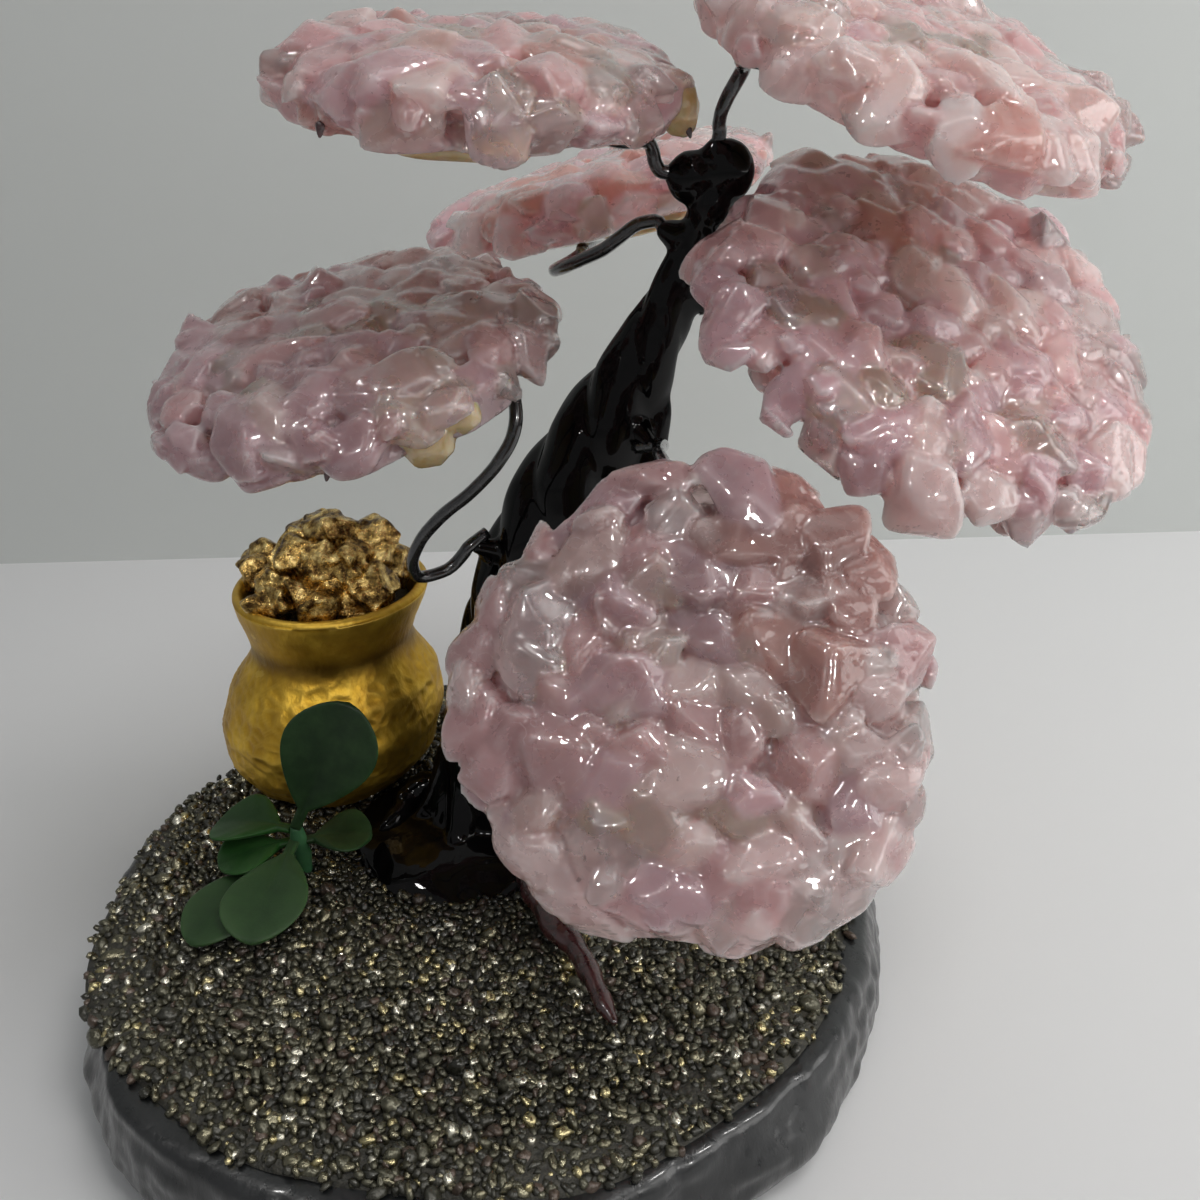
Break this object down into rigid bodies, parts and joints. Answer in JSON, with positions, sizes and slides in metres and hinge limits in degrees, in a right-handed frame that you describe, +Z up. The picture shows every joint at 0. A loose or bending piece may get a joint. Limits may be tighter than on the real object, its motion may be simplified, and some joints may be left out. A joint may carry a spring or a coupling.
{
  "type": "gemstone wire tree ornament",
  "caption": "Bonsai-style ornament: rose quartz chip clusters on bendable wire branches, glossy black clay trunk, pot of nuggets and succulent on a gritted wood slice.",
  "frame": {"origin": "middle of the wood slice's underside", "axes": "+Z up along the slice's thickness, -Y towards the side that the large front cluster faces, +X the side that the trunk leans towards"},
  "size_m": [0.1257, 0.1184, 0.1199],
  "materials": {
    "black_wood": "sawn slice with bark, painted black",
    "pyrite_gravel": "coarse metallic grit in glue",
    "black_clay": "gloss varnish",
    "brown_clay": "gloss varnish",
    "bare_wire": "annealed",
    "black_wire": "gloss enamel",
    "clear_glue": "yellowed clear glue",
    "rose_quartz": "tumbled, wet gloss",
    "gold_glaze": "gold paint, satin",
    "pyrite_nugget": "metallic lumps",
    "leaf_plastic": "matt with a bloom"
  },
  "bodies": {
    "base": {"core_wire_crown_left": "bare_wire", "core_wire_crown_right": "bare_wire", "core_wire_front": "bare_wire", "core_wire_left": "bare_wire", "core_wire_rear": "bare_wire", "core_wire_right": "bare_wire", "gravel_bed": "pyrite_gravel", "leaf_front_left": "leaf_plastic", "leaf_front_right": "leaf_plastic", "leaf_left_lower": "leaf_plastic", "leaf_left_upper": "leaf_plastic", "leaf_rear": "leaf_plastic", "leaf_upper": "leaf_plastic", "nugget_1": "pyrite_nugget", "nugget_10": "pyrite_nugget", "nugget_11": "pyrite_nugget", "nugget_12": "pyrite_nugget", "nugget_2": "pyrite_nugget", "nugget_3": "pyrite_nugget", "nugget_4": "pyrite_nugget", "nugget_5": "pyrite_nugget", "nugget_6": "pyrite_nugget", "nugget_7": "pyrite_nugget", "nugget_8": "pyrite_nugget", "nugget_9": "pyrite_nugget", "pot": "gold_glaze", "pot_fill": "clear_glue", "root_front": "brown_clay", "root_left": "black_clay", "root_right": "black_clay", "sprig_stem": "leaf_plastic", "trunk_clay": "black_clay", "wood_slice": "black_wood"},
    "branch_crown_left": {"branch_wire_crown_left": "black_wire", "glue_pad_crown_left": "clear_glue", "quartz_chips_crown_left": "rose_quartz"},
    "branch_crown_right": {"branch_wire_crown_right": "black_wire", "glue_pad_crown_right": "clear_glue", "quartz_chips_crown_right": "rose_quartz"},
    "branch_rear": {"branch_wire_rear": "black_wire", "glue_pad_rear": "clear_glue", "quartz_chips_rear": "rose_quartz"},
    "branch_left": {"branch_wire_left": "black_wire", "glue_pad_left": "clear_glue", "quartz_chips_left": "rose_quartz"},
    "branch_right": {"branch_wire_right": "black_wire", "glue_pad_right": "clear_glue", "quartz_chips_right": "rose_quartz"},
    "branch_front": {"branch_wire_front": "black_wire", "glue_pad_front": "clear_glue", "quartz_chips_front": "rose_quartz"}
  },
  "joints": [
    {"name": "bend_crown_left", "type": "hinge", "parent": "base", "child": "branch_crown_left", "pos_m": [0.02492, 0.00762, 0.09945], "axis": [-0.185, 0.9827, 0], "range_deg": [-10, 10]},
    {"name": "bend_crown_right", "type": "hinge", "parent": "base", "child": "branch_crown_right", "pos_m": [0.03004, 0.008, 0.10223], "axis": [-0.284, -0.9588, 0], "range_deg": [-10, 10]},
    {"name": "bend_rear", "type": "hinge", "parent": "base", "child": "branch_rear", "pos_m": [0.02437, 0.01019, 0.09329], "axis": [0.9792, 0.2028, 0], "range_deg": [-10, 10]},
    {"name": "bend_left", "type": "hinge", "parent": "base", "child": "branch_left", "pos_m": [0.00135, 0.00743, 0.057], "axis": [-0.4664, 0.8846, 0], "range_deg": [-8, 8]},
    {"name": "bend_right", "type": "hinge", "parent": "base", "child": "branch_right", "pos_m": [0.03033, 0.00942, 0.085], "axis": [-0.5174, -0.8557, 0], "range_deg": [-10, 3]},
    {"name": "bend_front", "type": "hinge", "parent": "base", "child": "branch_front", "pos_m": [0.02258, 0.004, 0.07051], "axis": [-0.9989, -0.0474, 0], "range_deg": [-10, 3]}
  ]
}
